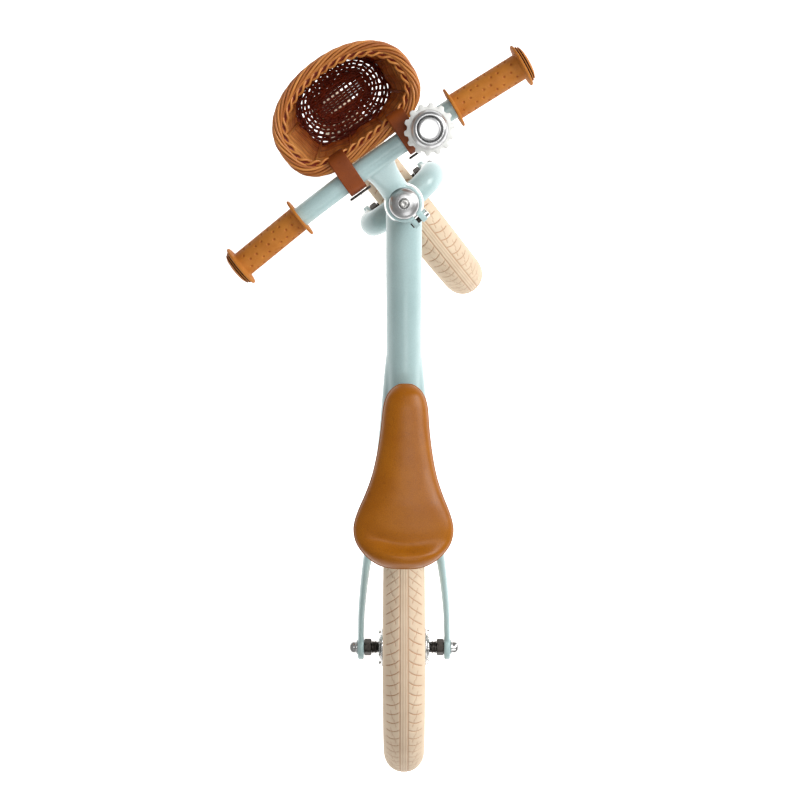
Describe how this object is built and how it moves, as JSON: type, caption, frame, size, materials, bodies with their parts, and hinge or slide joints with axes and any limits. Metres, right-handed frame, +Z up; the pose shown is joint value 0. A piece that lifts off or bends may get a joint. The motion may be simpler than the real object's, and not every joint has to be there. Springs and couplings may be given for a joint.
{
  "type": "balance bike",
  "caption": "Child's balance bike with spoked wheels, unicrown fork, curved main tube into twin rear stays, padded saddle, grips, rotating-ring bell and wicker handlebar basket.",
  "frame": {"origin": "on the ground under the middle of the bike's bounding box, with the steering stored turned left", "axes": "+X to the rider's right, +Y forward, +Z up"},
  "size_m": [0.2979, 0.8414, 0.5915],
  "materials": {
    "frame_paint": "satin pale blue-grey enamel",
    "chrome": "polished",
    "steel": "zinc plated",
    "dark_steel": "blackened",
    "tyre": "matt cream rubber",
    "grip": "matt tan rubber",
    "saddle_cover": "smooth tan leatherette",
    "black_plastic": "matt black",
    "white_plastic": "white",
    "wicker": "honey-coloured woven wicker, lightly varnished",
    "strap": "dark brown leather"
  },
  "bodies": {
    "frame": {"main_tube": "frame_paint", "right_rear_stay": "frame_paint", "left_rear_stay": "frame_paint", "head_tube": "frame_paint", "seat_tube": "frame_paint", "seat_clamp": "chrome", "seat_clamp_bolt": "steel", "upper_headset_cup": "chrome", "lower_headset_cup": "chrome", "rear_axle": "steel", "rear_right_cone": "dark_steel", "rear_right_lock_nut": "dark_steel", "rear_right_dome_nut": "chrome", "rear_left_cone": "dark_steel", "rear_left_lock_nut": "dark_steel", "rear_left_dome_nut": "chrome"},
    "saddle": {"saddle_cover": "saddle_cover", "saddle_pan": "black_plastic", "saddle_rail": "dark_steel", "saddle_clamp": "dark_steel", "seat_post": "chrome"},
    "rear_wheel": {"rear_tyre": "tyre", "rear_rim": "chrome", "rear_hub_and_spokes": "chrome", "rear_right_hub_dish": "chrome", "rear_left_hub_dish": "chrome"},
    "steering": {"right_fork_leg": "frame_paint", "left_fork_leg": "frame_paint", "steerer": "steel", "headset_cover": "chrome", "top_cap": "chrome", "top_cap_bolt": "steel", "front_axle": "steel", "front_right_cone": "dark_steel", "front_right_lock_nut": "dark_steel", "front_right_dome_nut": "chrome", "front_left_cone": "dark_steel", "front_left_lock_nut": "dark_steel", "front_left_dome_nut": "chrome", "stem": "frame_paint", "stem_pinch_bolt": "dark_steel", "handlebar": "frame_paint", "right_grip": "grip", "left_grip": "grip", "bell_foot": "black_plastic", "bell_dome": "chrome", "bell_cap": "chrome", "basket_wall": "wicker", "basket_base": "wicker", "basket_rim": "wicker", "right_strap": "strap", "left_strap": "strap", "right_buckle": "dark_steel", "left_buckle": "dark_steel"},
    "front_wheel": {"front_tyre": "tyre", "front_rim": "chrome", "front_hub_and_spokes": "chrome", "front_right_hub_dish": "chrome", "front_left_hub_dish": "chrome"},
    "bell_ring": {"bell_gear_ring": "white_plastic"}
  },
  "joints": [
    {"name": "steering_turn", "type": "hinge", "parent": "frame", "child": "steering", "pos_m": [0.024, 0.2017, 0.501], "axis": [0, -0.225, 0.9744], "range_deg": [-82, 8]},
    {"name": "front_wheel_spin", "type": "hinge", "parent": "steering", "child": "front_wheel", "pos_m": [0.01708, 0.29115, 0.15157], "axis": [0.7771, 0.6132, 0.1416], "continuous": true},
    {"name": "rear_wheel_spin", "type": "hinge", "parent": "frame", "child": "rear_wheel", "pos_m": [0.024, -0.272, 0.1525], "axis": [1, 0, 0], "continuous": true},
    {"name": "saddle_height", "type": "slide", "parent": "frame", "child": "saddle", "axis": [0, -0.2588, 0.9659], "range_m": [-0.008, 0.055]},
    {"name": "bell_ring_twist", "type": "hinge", "parent": "steering", "child": "bell_ring", "pos_m": [0.04803, 0.25538, 0.57497], "axis": [0, -0.225, 0.9744], "range_deg": [-25, 25], "stiffness_Nm_per_rad": 0.15}
  ]
}
